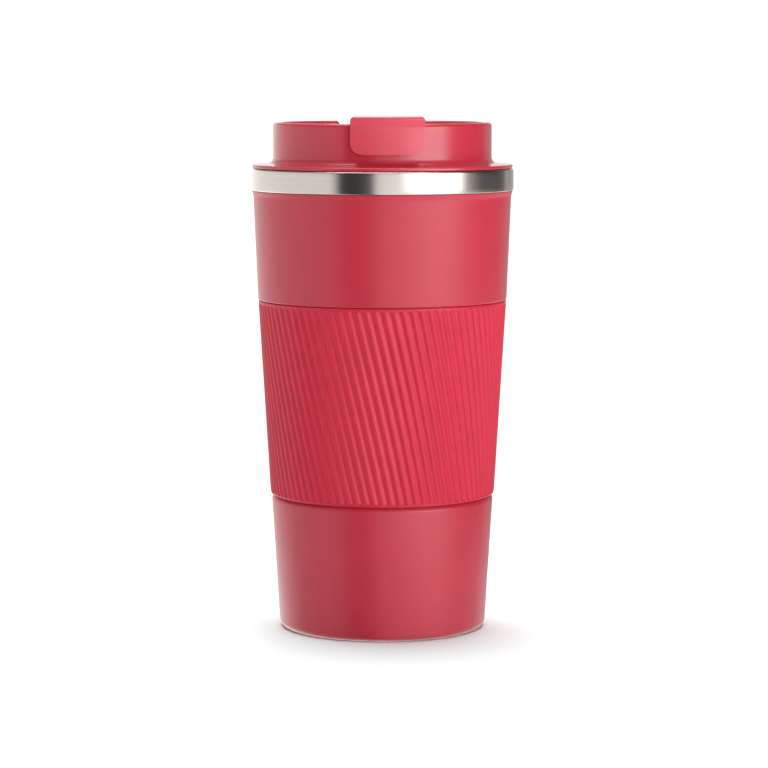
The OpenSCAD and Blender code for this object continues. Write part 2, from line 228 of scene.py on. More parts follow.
def lathe(name, outline, columns=256, centre=(0, 0)):
    """A closed outline turned about the Z line through centre."""
    verts = []
    for r, z in outline:
        verts += circle(r, z, columns, centre)
    return make_object(name, verts, grid_faces(len(outline), columns, wrap_rows=True))


def place(piece, body, node, material):
    """The piece rides on its body and stands for its CAD node."""
    piece.data.materials.clear()
    piece.data.materials.append(material)
    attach(piece, body)
    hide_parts(node)


def add_bevel(piece, width, segments=4):
    """Rounds of width millimetres on the piece's sharp edges."""
    bevel = piece.modifiers.new("edges", "BEVEL")
    bevel.width = width * MM
    bevel.segments = segments
    bevel.limit_method = "ANGLE"
    bevel.angle_limit = math.radians(50)
    bevel.harden_normals = True


# ---------------------------------------------------------------- materials

NOISE_LOW, NOISE_HIGH = 0.3, 0.7        # the part of the noise's range that holds most of it


class Shader:
    """A Principled material and short calls that add its nodes."""

    def __init__(self, name, color, roughness, metallic=0.0, specular=0.5):
        self.material = bpy.data.materials.new(name)
        self.material.use_nodes = True
        self.tree = self.material.node_tree
        self.bsdf = self.tree.nodes["Principled BSDF"]
        self.set("Base Color", (*color, 1))
        self.set("Roughness", roughness)
        self.set("Metallic", metallic)
        self.set("Specular IOR Level", specular)
        self.bump_from = None

    def set(self, socket, value):
        self.bsdf.inputs[socket].default_value = value

    def node(self, kind, **inputs):
        made = self.tree.nodes.new(kind)
        for key, value in inputs.items():
            made.inputs[key.replace("_", " ")].default_value = value
        return made

    def link(self, source, target):
        self.tree.links.new(source, target)

    def noise(self, size, detail=2.0, stretch=(1, 1, 1)):
        """Noise whose grains are size millimetres across, stretched along the axes."""
        place_node = self.node("ShaderNodeTexCoord")
        mapping = self.node("ShaderNodeMapping")
        mapping.inputs["Scale"].default_value = [1 / (size * MM * s) for s in stretch]
        noise = self.node("ShaderNodeTexNoise", Scale=1.0, Detail=detail, Roughness=0.55)
        self.link(place_node.outputs["Object"], mapping.inputs["Vector"])
        self.link(mapping.outputs["Vector"], noise.inputs["Vector"])
        return noise.outputs["Fac"]

    def spread(self, source, low_value, high_value):
        """The noise mapped to run from low_value to high_value."""
        ramp = self.node("ShaderNodeMapRange")
        for key, value in zip(("From Min", "From Max", "To Min", "To Max"),
                              (NOISE_LOW, NOISE_HIGH, low_value, high_value)):
            ramp.inputs[key].default_value = value
        self.link(source, ramp.inputs["Value"])
        return ramp.outputs["Result"]

    def vary_roughness(self, source, low_value, high_value):
        self.link(self.spread(source, low_value, high_value), self.bsdf.inputs["Roughness"])

    def mix_color(self, factor, first, second):
        """The base colour runs from first to second as the factor goes from 0 to 1."""
        mix = self.node("ShaderNodeMix")
        mix.data_type = "RGBA"
        ends = [socket for socket in mix.inputs if socket.type == "RGBA"]
        for socket, color in zip(ends, (first, second)):
            socket.default_value = color
        self.link(factor, mix.inputs["Factor"])
        result = next(socket for socket in mix.outputs if socket.type == "RGBA")
        self.link(result, self.bsdf.inputs["Base Color"])

    def vary_color(self, source, dark, light):
        self.mix_color(self.spread(source, 0, 1), (*dark, 1), (*light, 1))

    def bump(self, source, height):
        """Relief of height millimetres from the source, on top of the relief before it."""
        bump = self.node("ShaderNodeBump", Strength=1.0, Distance=height * MM)
        self.link(source, bump.inputs["Height"])
        if self.bump_from:
            self.link(self.bump_from, bump.inputs["Normal"])
        self.bump_from = bump.outputs["Normal"]
        self.link(self.bump_from, self.bsdf.inputs["Normal"])


def scaled(color, factor):
    return tuple(c * factor for c in color)


def coat_material():
    color = (0.6, 0.026, 0.056)
    s = Shader("red_powder_coat", color, 0.36)
    s.set("Coat Weight", 0.25)
    s.set("Coat Roughness", 0.2)
    s.set("Sheen Weight", 0.08)
    s.set("Sheen Roughness", 0.3)
    grain = s.noise(0.35, detail=3)
    s.vary_color(s.noise(9, detail=3), scaled(color, 0.96), scaled(color, 1.04))
    s.vary_roughness(grain, 0.32, 0.42)
    s.bump(s.noise(1.6, detail=1), 0.012)
    s.bump(grain, 0.006)
    return s.material


def silicone_material():
    color = (0.69, 0.015, 0.05)
    s = Shader("red_silicone", color, 0.46, specular=0.4)
    s.set("Coat Weight", 0.06)
    s.set("Coat Roughness", 0.3)
    s.set("Sheen Weight", 0.04)
    s.set("Sheen Roughness", 0.3)
    s.vary_color(s.noise(6, detail=3), scaled(color, 0.95), scaled(color, 1.05))
    s.vary_roughness(s.noise(0.5, detail=3), 0.42, 0.5)
    s.bump(s.noise(0.25, detail=2), 0.008)
    return s.material


def plastic_material(name, color, roughness, grain, relief, coat=0.0, coat_roughness=0.11):
    """A moulding's surface; grain and relief are the size and height of its texture."""
    s = Shader(name, color, roughness, specular=0.3)
    s.set("Coat Weight", coat)
    s.set("Coat Roughness", coat_roughness)
    s.vary_color(s.noise(8, detail=2), scaled(color, 0.97), scaled(color, 1.03))
    s.vary_roughness(s.noise(grain * 2, detail=2), roughness - 0.04, roughness + 0.05)
    s.bump(s.noise(grain, detail=2), relief)
    return s.material


def pale_silicone_material():
    color = (0.72, 0.71, 0.67)
    s = Shader("pale_silicone", color, 0.5, specular=0.4)
    s.set("Subsurface Weight", 0.15)
    s.set("Subsurface Radius", (0.002, 0.002, 0.0015))
    s.vary_color(s.noise(5, detail=2), scaled(color, 0.95), scaled(color, 1.02))
    s.vary_roughness(s.noise(0.6), 0.45, 0.56)
    s.bump(s.noise(0.3), 0.006)
    return s.material


def brushed_material(name, color, roughness, anisotropy, streak=0.05, length=60):
    """Steel brushed round the Z axis: streaks of length millimetres, streak wide."""
    s = Shader(name, color, roughness, metallic=1.0)
    s.set("Anisotropic", anisotropy)
    s.set("Anisotropic Rotation", 0.25)
    tangent = s.node("ShaderNodeTangent")
    tangent.direction_type = "RADIAL"
    tangent.axis = "Z"
    s.link(tangent.outputs["Tangent"], s.bsdf.inputs["Tangent"])
    streaks = s.noise(streak, detail=3, stretch=(length / streak, length / streak, 1))
    s.vary_roughness(streaks, roughness - 0.05, roughness + 0.07)
    s.vary_color(s.noise(streak * 3, detail=2, stretch=(300, 300, 1)), scaled(color, 0.93), color)
    s.bump(streaks, 0.0015)
    return s.material


def speckled_metal(name, color, roughness, grain):
    """Bare metal with fine spots, grain millimetres across."""
    s = Shader(name, color, roughness, metallic=1.0)
    s.vary_color(s.noise(grain * 4), scaled(color, 0.85), color)
    s.vary_roughness(s.noise(grain), roughness - 0.08, roughness + 0.1)
    s.bump(s.noise(grain), 0.004)
    return s.material


RED_COAT = coat_material()
RED_SILICONE = silicone_material()
RED_PLASTIC = plastic_material("red_plastic", (0.61, 0.031, 0.06), 0.36, 0.3, 0.005, coat=0.75)
TAB_PLASTIC = plastic_material("tab_plastic", (0.77, 0.076, 0.115), 0.38, 0.22, 0.003,
                               coat=0.4, coat_roughness=0.22)
DARK_PLASTIC = plastic_material("dark_plastic", (0.07, 0.07, 0.075), 0.4, 0.3, 0.004)
PALE_SILICONE = pale_silicone_material()
BAND_STEEL = brushed_material("brushed_band", (0.8, 0.74, 0.68), 0.2, 0.8)
LINER_STEEL = brushed_material("liner_steel", (0.74, 0.74, 0.73), 0.3, 0.5, streak=0.12, length=30)
BASE_STEEL = brushed_material("base_steel", (0.76, 0.75, 0.74), 0.28, 0.6)
PLAIN_STEEL = speckled_metal("plain_steel", (0.66, 0.66, 0.66), 0.35, 0.5)
PIN_STEEL = speckled_metal("pin_steel", (0.72, 0.72, 0.72), 0.2, 0.3)
GETTER_METAL = speckled_metal("getter_metal", (0.3, 0.3, 0.31), 0.6, 0.2)
SEAL_BEAD = plastic_material("seal_bead", (0.06, 0.07, 0.08), 0.15, 0.8, 0.01)


# ---------------------------------------------------------------- cup

def outer_shell():
    """The coated wall: recessed where the sleeve lies and hemmed at the foot."""
    recess_low_r = SLEEVE_LOW_R - SLEEVE_T
    recess_high_r = SLEEVE_HIGH_R - SLEEVE_T
    ledge_z = SLEEVE_Z - 0.35
    brow_z = SLEEVE_TOP + 0.15
    throat_r = BAND_R - 1.25
    outline = rounded([
        (HEM_R, 0, 0.3),
        (FOOT_R - 0.05, 0, FOOT_EDGE),
        (LOW_R, ledge_z, 1.7),
        (recess_low_r, ledge_z + 0.02),
        (recess_high_r, brow_z - 0.02),
        (HIGH_R - 0.05, brow_z, 0.6),
        (NECK_R, RING_Z - 1.9, 5),
        (NECK_R + 0.5, RING_Z - 0.1, 0.25),
        (throat_r, RING_Z - 0.1),
        (throat_r, CUP_H - 1.25),
        (throat_r - SHELL_T, CUP_H - 1.25),
        (throat_r - SHELL_T, RING_Z - 1.5),
        (HIGH_R - SHELL_T, brow_z + 2),
        (recess_high_r - SHELL_T, brow_z),
        (recess_low_r - SHELL_T, ledge_z - 0.5),
        (LOW_R - SHELL_T, ledge_z - 2.5),
        (FOOT_R - SHELL_T - 0.05, SHELL_T, FOOT_EDGE - SHELL_T),
        (HEM_R + SHELL_T, SHELL_T),
        (HEM_R + SHELL_T, HEM_H),
        (HEM_R, HEM_H),
    ])
    place(lathe("shell_wall", outline), "cup", "outer_shell", RED_COAT)


def mouth_ring():
    """The bare band at the mouth, folded in to the vessel's edge."""
    inner_r = MOUTH_R + LINER_T + GAP
    outline = rounded([
        (BAND_R - 1.2, RING_Z, 0.15),
        (BAND_R - 0.06, RING_Z, 0.3),
        (BAND_R, RING_Z + 1.2, 6),
        (BAND_R, CUP_H - 1.2, 6),
        (BAND_R - 0.08, CUP_H, 0.55),
        (inner_r, CUP_H, 0.05),
        (inner_r, CUP_H - 1.2),
        (BAND_R - 1.2, CUP_H - 1.2),
    ])
    piece = lathe("mouth_band", outline, columns=320)
    place(piece, "cup", "mouth_ring", BAND_STEEL)


def ridge_height(angle, z, base_z, first, turn, half_width, crest):
    """Height from 0 to 1 of the screw's ridges at an angle in degrees and a height z."""
    best = 0.0
    for start in range(THREAD_STARTS):
        along = (angle - first - start * 360 / THREAD_STARTS) % 360
        if along > turn:
            continue
        middle = base_z + THREAD_LEAD * along / 360
        ends = min(1.0, along / 12, (turn - along) / 12)
        side = (half_width - abs(z - middle)) / (half_width - crest)
        side = min(1.0, max(0.0, side))
        best = max(best, ends * side * side * (3 - 2 * side))
    return best


def ridged_circle(r, relief, z, ridge):
    """A ring of points at the height z on a wall that carries the screw's ridges."""
    points = []
    for k in range(THREAD_COLUMNS):
        angle = 360 * k / THREAD_COLUMNS
        wall = r + relief * ridge_height(angle, z, *ridge)
        a = math.radians(angle)
        points.append((wall * math.cos(a), wall * math.sin(a), z))
    return points


def inner_liner():
    """The vessel: its mouth carries the rolled screw ridges."""
    neck_z = CUP_H - PLUG_DEPTH - 2
    taper_r = MOUTH_R + LINER_T - 0.45
    rest = rounded([
        (MOUTH_R, CUP_H - 3), (MOUTH_R, CUP_H, 0.4), (MOUTH_R + LINER_T, CUP_H, 0.05),
        (MOUTH_R + LINER_T, neck_z + 1.6), (taper_r, neck_z), (LINER_LOW_R, LINER_Z, LINER_EDGE),
        (LINER_FLOOR_R, LINER_Z), (LINER_FLOOR_R, LINER_Z + LINER_T),
        (LINER_LOW_R - LINER_T, LINER_Z + LINER_T, LINER_EDGE - LINER_T),
        (taper_r - LINER_T, neck_z), (MOUTH_R, neck_z + 1.6),
    ])
    ridge = (MOUTH_THREAD_Z, 0, MOUTH_THREAD_TURN, 1.0, 0.3)
    z_low, z_high = neck_z + 2, CUP_H - 3.5
    rows = round((z_high - z_low) / 0.22)
    verts = []
    for i in range(rows + 1):
        verts += ridged_circle(MOUTH_R, -1.05, z_low + (z_high - z_low) * i / rows, ridge)
    for r, z in rest:
        verts += circle(r, z, THREAD_COLUMNS)
    rings = len(verts) // THREAD_COLUMNS
    piece = make_object("vessel", verts, grid_faces(rings, THREAD_COLUMNS, wrap_rows=True))
    place(piece, "cup", "inner_liner", LINER_STEEL)


def liner_floor():
    """The pressed disc that closes the vessel, with a raised middle."""
    r = LINER_FLOOR_R - GAP
    z = LINER_Z
    outline = rounded([
        (CORE, z + 0.6), (15, z + 0.6, 3), (17, z, 3), (r, z), (r, z + LINER_T),
        (17.2, z + LINER_T, 3), (15.2, z + LINER_T + 0.6, 3), (CORE, z + LINER_T + 0.6),
    ])
    place(lathe("vessel_floor", outline), "cup", "liner_floor", LINER_STEEL)


def base_cover():
    """The plate in the foot, whose middle is pressed in."""
    r = HEM_R - GAP
    z = low("base_cover")
    outline = rounded([
        (CORE, z + 0.5), (20.5, z + 0.5, 1.5), (21.5, z, 1.5), (r, z, 0.7), (r, HEM_H),
        (r - COVER_T, HEM_H), (r - COVER_T, z + COVER_T), (21.8, z + COVER_T, 1.5),
        (20.8, z + 1.3, 1.5), (CORE, z + 1.3),
    ])
    place(lathe("foot_plate", outline), "cup", "base_cover", BASE_STEEL)


def rib_height(t):
    """Height from 0 in a groove to 1 on a rib's crest; t runs from 0 to 1 over one rib."""
    wave = 0.5 + 0.5 * math.cos(2 * math.pi * (t - 0.5))
    return wave ** 0.8


def grip_sleeve():
    """Slanted ribs that fade out into a plain band at each edge."""
    columns = RIBS * RIB_COLUMNS
    height = SLEEVE_TOP - SLEEVE_Z
    band_low = 0.5
    band_high = 0.9
    run_out = 0.5
    fade_steps = 4
    edge_steps = 3
    rows = 44
    verts = []

    def envelope(z):
        return SLEEVE_LOW_R + (SLEEVE_HIGH_R - SLEEVE_LOW_R) * z / height

    def ring(z, r_of):
        for k in range(columns):
            t = k / RIB_COLUMNS % 1
            a = math.radians(k * 360 / columns - RIB_TURN * z / height)
            r = r_of(t)
            verts.append((r * math.sin(a), -r * math.cos(a), SLEEVE_Z + z))

    def ribbed(z):
        part = min((z - band_low) / run_out, (height - band_high - z) / run_out)
        part = min(1.0, max(0.0, part))
        full = part * part * (3 - 2 * part)
        edge = envelope(z) - BAND_SINK
        return lambda t: edge + full * (BAND_SINK - RIB_DEPTH * (1 - rib_height(t)))

    def plain(z, inset):
        return lambda t: envelope(z) - BAND_SINK - inset

    ribbed_low = band_low + run_out
    ribbed_high = height - band_high - run_out
    levels = [band_low]
    levels += [band_low + run_out * k / fade_steps for k in range(1, fade_steps + 1)]
    levels += [ribbed_low + (ribbed_high - ribbed_low) * k / rows for k in range(1, rows + 1)]
    levels += [ribbed_high + run_out * k / fade_steps for k in range(1, fade_steps + 1)]
    levels += [height - SLEEVE_EDGE]
    for step in range(edge_steps + 1):
        a = math.radians(90 * step / edge_steps)
        ring(SLEEVE_EDGE * (1 - math.cos(a)), plain(0, SLEEVE_EDGE * (1 - math.sin(a))))
    for z in levels:
        ring(z, ribbed(z))
    for step in range(1, edge_steps + 1):
        a = math.radians(90 * step / edge_steps)
        ring(height - SLEEVE_EDGE * (1 - math.sin(a)),
             plain(height, SLEEVE_EDGE * (1 - math.cos(a))))
    ring(height, lambda t: envelope(height) - SLEEVE_T + 0.1)
    ring(0, lambda t: envelope(0) - SLEEVE_T + 0.1)
    faces = grid_faces(len(verts) // columns, columns, wrap_rows=True)
    piece = make_object("ribbed_sleeve", verts, faces, smooth_angle=60)
    place(piece, "cup", "grip_sleeve", RED_SILICONE)


# ---------------------------------------------------------------- lid

STRAIGHT = 22.0         # within this of the middle, the notch's sides run straight back
HALF_WAY = STRAIGHT + COLLAR_R * (math.pi - math.asin(STRAIGHT / COLLAR_R))


def ring_point(s, r, z):
    """A point at distance s round the lid from the notch's middle, on the radius r."""
    side = 1 if s >= 0 else -1
    turn = math.asin(min(abs(s), STRAIGHT) / r)
    if abs(s) > STRAIGHT:
        turn += (abs(s) - STRAIGHT) / (HALF_WAY - STRAIGHT) * (math.pi - turn)
    return side * r * math.sin(turn), r * math.cos(turn), z


def rim_stations():
    """Stations round the collar: (s, z, outward s, outward z, s at the wall's foot)."""
    w = NOTCH_W / 2
    corner = 2.0
    lip = RIM_ROUND + 0.2
    half = []
    # the notch's floor, inner corner, side and outer lip, then the rim
    for k in range(11):
        half.append(((w - corner) * k / 10, NOTCH_Z, 0, 1))
    for k in range(1, 10):
        a = math.radians(-90 + 90 * k / 9)
        half.append((w - corner + corner * math.cos(a), NOTCH_Z + corner + corner * math.sin(a),
                     -math.cos(a), -math.sin(a)))
    for k in range(1, 4):
        z = NOTCH_Z + corner + (RIM_Z - lip - NOTCH_Z - corner) * k / 4
        half.append((w, z, -1, 0))
    for k in range(10):
        a = math.radians(180 - 90 * k / 9)
        half.append((w + lip + lip * math.cos(a), RIM_Z - lip + lip * math.sin(a),
                     math.cos(a), math.sin(a)))
    for k in range(1, 9):
        half.append((w + lip + (STRAIGHT - w - lip) * k / 8, RIM_Z, 0, 1))
    lengths = [0.0]
    for a, b in zip(half, half[1:]):
        lengths.append(lengths[-1] + math.dist(a[:2], b[:2]))
    half = [h + (STRAIGHT * d / lengths[-1],) for h, d in zip(half, lengths)]
    around = 110
    for k in range(1, around + 1):
        s = STRAIGHT + (HALF_WAY - STRAIGHT) * k / around
        half.append((s, RIM_Z, 0, 1, s))
    mirrored = [(-s, z, -ns, nz, -foot) for s, z, ns, nz, foot in half[1:-1]]
    return mirrored[::-1] + half


def fill_between(rings, verts, faces):
    """Triangles over the flat region inside the first ring and outside the others; each
    ring is a list of point numbers."""
    flat = bmesh.new()
    made = {}
    edges = []
    for ring in rings:
        for n in ring:
            made[n] = flat.verts.new(Vector(verts[n]))
        edges += [flat.edges.new((made[a], made[b])) for a, b in zip(ring, ring[1:] + ring[:1])]
    result = bmesh.ops.triangle_fill(flat, edges=edges, use_beauty=True, normal=(0, 0, 1))
    number = {v: n for n, v in made.items()}
    for item in result["geom"]:
        if isinstance(item, bmesh.types.BMFace):
            faces.append(tuple(number[v] for v in item.verts))
    flat.free()


def hole_rings(profile, centre_y, verts, faces):
    """The wall of a hole through a flat region; its first and last rings are returned."""
    columns = 72
    first = len(verts)
    for r, z in profile:
        verts += circle(r, z, columns, (0, centre_y))
    faces += [tuple(first + n for n in f) for f in grid_faces(len(profile), columns)]
    last = first + (len(profile) - 1) * columns
    return list(range(first, first + columns)), list(range(last, last + columns))


def lid_cover():
    """Deck, collar with its notch, flange and spigot in one closed mesh."""
    stations = rim_stations()
    columns = len(stations)
    inner_r = COLLAR_R - COLLAR_T
    spigot_r = PLUG_R - 2.5
    spigot_z = CUP_H - 4.5
    edge = RIM_ROUND
    edge_steps = 6
    wall_z = DECK_Z + 1.2
    wall_rows = 6
    verts = []

    def fixed_ring(r, z):
        verts.extend(ring_point(st[4], r, z) for st in stations)

    def rim_ring(r, inset):
        for s, z, out_s, out_z, _ in stations:
            verts.append(ring_point(s - out_s * inset, r, z - out_z * inset))

    def wall_rings(r, parts):
        for part in parts:
            for s, z, out_s, out_z, foot in stations:
                top_s, top_z = s - out_s * edge, z - out_z * edge
                verts.append(ring_point(foot + (top_s - foot) * part, r,
                                        wall_z + (top_z - wall_z) * part))

    for r, z in arc_points(inner_r - 1, DECK_Z + 1, 1, -90, 0):
        fixed_ring(r, z)
    wall_rings(inner_r, [k / wall_rows for k in range(wall_rows + 1)])
    for k in range(1, edge_steps + 1):
        a = math.radians(90 * k / edge_steps)
        rim_ring(inner_r + edge * (1 - math.cos(a)), edge * (1 - math.sin(a)))
    for k in range(edge_steps + 1):
        a = math.radians(90 - 90 * k / edge_steps)
        rim_ring(COLLAR_R - edge * (1 - math.cos(a)), edge * (1 - math.sin(a)))
    wall_rings(COLLAR_R, [1 - k / wall_rows for k in range(1, wall_rows + 1)])
    rest = rounded([
        (COLLAR_R, wall_z - 0.5), (COLLAR_R, LID_Z + 1.7, 2.2),
        (LID_R - 0.1, LID_Z + 1.12, 0.4), (LID_R, LID_Z, 0.35), (spigot_r, LID_Z),
        (spigot_r, spigot_z), (PLUG_R - 4, spigot_z), (PLUG_R - 4, DECK_Z - DECK_T),
    ])
    for r, z in rest:
        fixed_ring(r, z)
    rings = len(verts) // columns
    faces = grid_faces(rings, columns)
    deck_outer = list(range(columns))
    ceiling_outer = list(range((rings - 1) * columns, rings * columns))
    ceiling = DECK_Z - DECK_T
    drink = [(DRINK_R + 2.2, DECK_Z), (DRINK_R + 2.0, DECK_Z)]
    drink += arc_points(DRINK_R + 0.9, DECK_Z - 0.9, 0.9, 90, 180)
    drink += [(DRINK_R, ceiling)]
    boss_z = DECK_Z + 1.8
    vent = [(4.0, DECK_Z), (3.7, DECK_Z)] + arc_points(3.5, DECK_Z + 0.6, 0.6, -90, -170, 4)
    vent += arc_points(2.5, boss_z - 0.4, 0.4, 0, 90, 4)
    vent += arc_points(VENT_R + 0.3, boss_z - 0.3, 0.3, 90, 180, 4)
    vent += [(VENT_R, ceiling)]
    tops, bottoms = [deck_outer], [ceiling_outer]
    for profile, y in ((drink, DRINK_Y), (vent, VENT_Y)):
        top_ring, bottom_ring = hole_rings(profile, y, verts, faces)
        tops.append(top_ring)
        bottoms.append(bottom_ring)
    fill_between(tops, verts, faces)
    fill_between(bottoms, verts, faces)
    piece = make_object("lid_top", verts, faces, smooth_angle=50)
    place(piece, "lid", "lid_cover", RED_PLASTIC)


def extruded(name, outline, half_width):
    """A prism along X from an outline of (y, z) points."""
    count = len(outline)
    verts = [(side * half_width, y, z) for side in (-1, 1) for y, z in outline]
    faces = [(k, (k + 1) % count, count + (k + 1) % count, count + k) for k in range(count)]
    faces += [tuple(range(count)), tuple(range(2 * count - 1, count - 1, -1))]
    return make_object(name, verts, faces, smooth_angle=50)


def hinge_ear():
    """The lid's knuckle: a post that flares into the deck, round at the pin."""
    foot = DECK_Z - 0.4
    flare = 1.2
    right = [(EAR_R + flare, foot)] + arc_points(
        EAR_R + flare, DECK_Z + flare, flare, -90, -180) + [(EAR_R, PIN_Z)]
    crown = arc_points(0, PIN_Z, EAR_R, 0, 180, 20)[1:]
    left = [(-y, z) for y, z in right[::-1]][1:]
    piece = extruded("lid_ear", right + crown + left, EAR_W / 2)
    add_bevel(piece, 0.35)
    place(piece, "lid", "lid_cover", RED_PLASTIC)


def lid_gasket():
    """The ring with two sealing lips."""
    in_r = PLUG_R - 1.1
    z = low("lid_gasket")
    top = high("lid_gasket")
    body_r = PLUG_R + 0.5
    lip_r = MOUTH_R - 0.2
    outline = rounded([
        (in_r, z, 0.1), (body_r, z, 0.1), (lip_r, z + 0.55, 0.12), (lip_r, z + 0.95, 0.12),
        (body_r, z + 1.05, 0.15), (body_r, z + 1.5, 0.15), (lip_r, z + 2.05, 0.12),
        (lip_r, z + 2.45, 0.12), (body_r, z + 2.6, 0.15), (body_r, top, 0.1), (in_r, top, 0.1),
    ])
    piece = lathe("seal_ring", outline)
    place(piece, "gasket", "lid_gasket", PALE_SILICONE)


def lid_plug():
    """Threaded wall, floor with its holes, and the two pipes inside."""
    columns = THREAD_COLUMNS
    z_low, z_high = PLUG_Z + 1.6, GROOVE_LOW - 0.4
    groove_r = PLUG_R - 1.2
    top_z = LID_Z - GAP
    floor_z = PLUG_Z + PLUG_FLOOR_T
    ridge = (MOUTH_THREAD_Z + THREAD_LEAD * PLUG_THREAD_START / 360 - PLUG_THREAD_DROP,
             PLUG_THREAD_START, PLUG_THREAD_TURN, 0.85, 0.3)
    rows = 40
    rest = rounded([
        (PLUG_R, GROOVE_LOW - 0.3), (PLUG_R, GROOVE_LOW, 0.12), (groove_r, GROOVE_LOW, 0.1),
        (groove_r, GROOVE_HIGH, 0.1), (PLUG_R, GROOVE_HIGH, 0.12), (PLUG_R, top_z),
        (PLUG_R - PLUG_T, top_z), (PLUG_R - PLUG_T, floor_z),
    ])
    verts = circle(PLUG_R - PLUG_T, PLUG_Z, columns)
    for r, z in arc_points(PLUG_R - 1.5, PLUG_Z + 1.5, 1.5, -90, 0):
        verts += circle(r, z, columns)
    for i in range(rows + 1):
        verts += ridged_circle(PLUG_R, 1.6, z_low + (z_high - z_low) * i / rows, ridge)
    for r, z in rest:
        verts += circle(r, z, columns)
    rings = len(verts) // columns
    faces = grid_faces(rings, columns)
    outer_low = list(range(columns))
    outer_high = list(range((rings - 1) * columns, rings * columns))
    pipe_top = DECK_Z - DECK_T - GAP
    lows, highs = [outer_low], [outer_high]
    pipes = ((DRINK_Y, DRINK_R + 1.2, 1.4), (VENT_Y, VENT_R + 0.1, 1.3))
    for y, r, wall in pipes:
        profile = [(r + 0.7, PLUG_Z)] + arc_points(r + 0.5, PLUG_Z + 0.5, 0.5, -90, -180)
        profile += [(r, pipe_top), (r + wall, pipe_top), (r + wall, floor_z + 0.3),
                    (r + wall + 0.3, floor_z)]
        low_ring, high_ring = hole_rings(profile, y, verts, faces)
        lows.append(low_ring)
        highs.append(high_ring)
    fill_between(lows, verts, faces)
    fill_between(highs, verts, faces)
    piece = make_object("lid_bottom", verts, faces, smooth_angle=50)
    place(piece, "lid", "lid_plug", DARK_PLASTIC)


def rod(name, r, x0, x1, edge, bore_r=0.01):
    """A rod or a tube along the hinge's axis, with rounded ends."""
    columns = 64
    outline = rounded([(bore_r, x0), (r, x0, edge), (r, x1, edge), (bore_r, x1)])
    verts = []
    for ring_r, x in outline:
        verts += [(x, y, PIN_Z + z) for y, z, _ in circle(ring_r, 0, columns)]
    return make_object(name, verts, grid_faces(len(outline), columns, wrap_rows=True))


def hinge_pin():
    piece = rod("tab_pin", PIN_R, low("hinge_pin", 0), high("hinge_pin", 0), 0.3)
    place(piece, "lid", "hinge_pin", PIN_STEEL)


# ---------------------------------------------------------------- tab

LIP_R = 1.1             # round of the lip where the arm turns down into the tongue
LIP_OUT = 1.1           # how far the lip stands out from the tongue's face
LIP_H = 3.4             # height from the hollow below the lip to the arm's top
ARM_FALL = 0.7          # fall of the arm's top from its front edge back to the hinge
ARM_UNDER = TAB_TOP - TAB_T
TAB_CORNER = 4.0        # round of the tongue's lower corners
TAB_CROWN = 1.5         # round along the arm's upper edges
SLOT = EAR_W / 2 + 0.3  # half the width of the slot for the lid's ear
# posts that carry the stoppers: name, place, radius and height of the lower end
POSTS = (
    ("tab_drink_post", DRINK_Y, DRINK_POST_R, DECK_Z + 2.2),
    ("tab_vent_post", VENT_Y, VENT_POST_R, DECK_Z + 4.2),
)


def arm_top(rho):
    """Height of the arm's top at a distance from the lid's middle."""
    return TAB_TOP - ARM_FALL * max(0.0, 1 - rho / (TONGUE_R - LIP_R))


def tab_side():
    """Side view of the tab's outer face, from the tongue's end up and back to the hinge:
    (distance out from the axis, height, roundness of the front seen from above)."""
    face = TONGUE_R - LIP_OUT
    arm_start = TONGUE_R - LIP_R
    corner_z = TONGUE_Z + TAB_CORNER
    points = [(face, TONGUE_Z + TAB_CORNER * k / 8) for k in range(8)]
    points += [(face, corner_z + (TAB_TOP - LIP_H - 1 - corner_z) * k / 4) for k in range(4)]
    points += rounded([
        (face, TAB_TOP - LIP_H - 1), (face, TAB_TOP - LIP_H, 1.5), (TONGUE_R, TAB_TOP - 1.3, 0.8),
        (TONGUE_R, TAB_TOP, LIP_R), (arm_start - 1, TAB_TOP),
    ], 5)[:-1]
    points = [(rho, z, 1.0) for rho, z in points]
    for k in range(1, 15):
        rho = arm_start * (1 - k / 15)
        points.append((rho, arm_top(rho), min(1.0, max(0.0, (rho - 18) / 18))))
    return points


def tab_under(rho, z):
    """The inner face's point that lies behind a point of the outer face."""
    inner_face = COLLAR_R + 0.3
    bend = 0.8
    if z < ARM_UNDER - bend - 0.4:
        return inner_face, z
    if rho > inner_face - bend:
        height = min(1.0, (z - ARM_UNDER + bend + 0.4) / (TAB_TOP - ARM_UNDER + bend + 0.4))
        a = math.radians(90 * height)
        return inner_face - bend + bend * math.cos(a), ARM_UNDER - bend + bend * math.sin(a)
    if rho < PIN_R + 0.7:
        return rho, PIN_Z + PIN_R + 0.2
    return rho, ARM_UNDER


